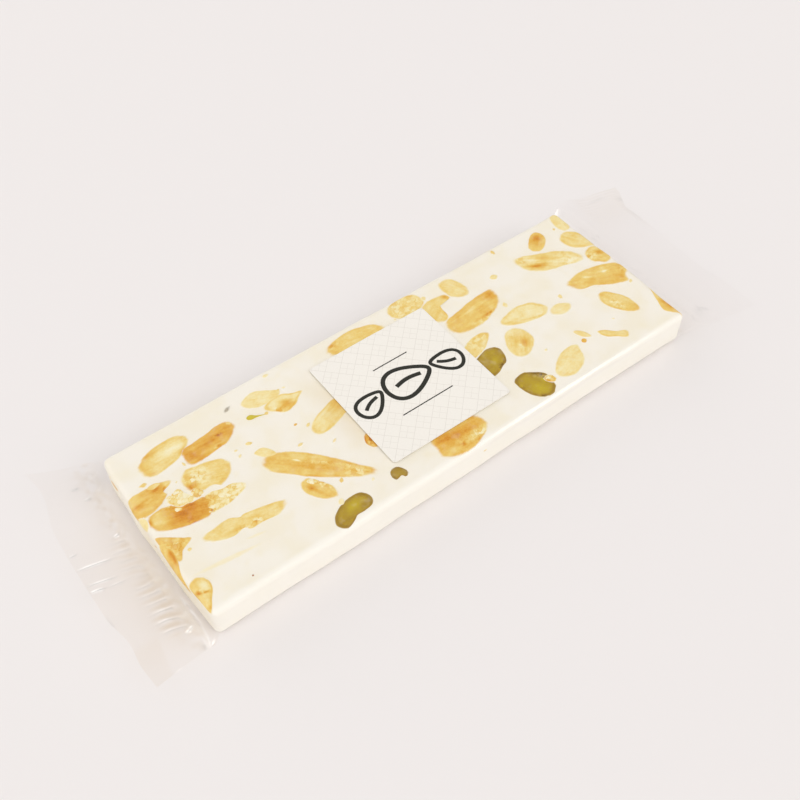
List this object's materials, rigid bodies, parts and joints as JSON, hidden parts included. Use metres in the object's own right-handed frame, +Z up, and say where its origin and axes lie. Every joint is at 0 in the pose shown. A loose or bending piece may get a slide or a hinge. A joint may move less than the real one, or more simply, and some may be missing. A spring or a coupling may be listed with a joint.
{
  "type": "nougat bar",
  "caption": "Flat cream-white nougat bar set with almonds and pistachios, sealed in clear film with crimped end fins and a square paper label on top.",
  "frame": {"origin": "middle of the whole pack's bounding box, at the height of the flat underside", "axes": "+X along the bar towards its longer film fin, +Z up through the labelled face, +Y across the bar"},
  "size_m": [0.198, 0.0666, 0.011],
  "materials": {
    "nougat": "dense aerated cream-white nougat, smooth cut faces with a faint waxy sheen",
    "almond": "roasted almond cut through, honey yellow to caramel brown",
    "pistachio": "shelled pistachio, yellow-green inside with a darker olive skin",
    "film": "thin clear glossy wrapping film with creases and crimp ribs",
    "label_paper": "semi-matt off-white sticker with a fine pale grey lattice",
    "label_ink": "flat near-black print"
  },
  "bodies": {
    "root": {"wrapped_bar": "nougat", "label": "label_paper"}
  },
  "joints": []
}
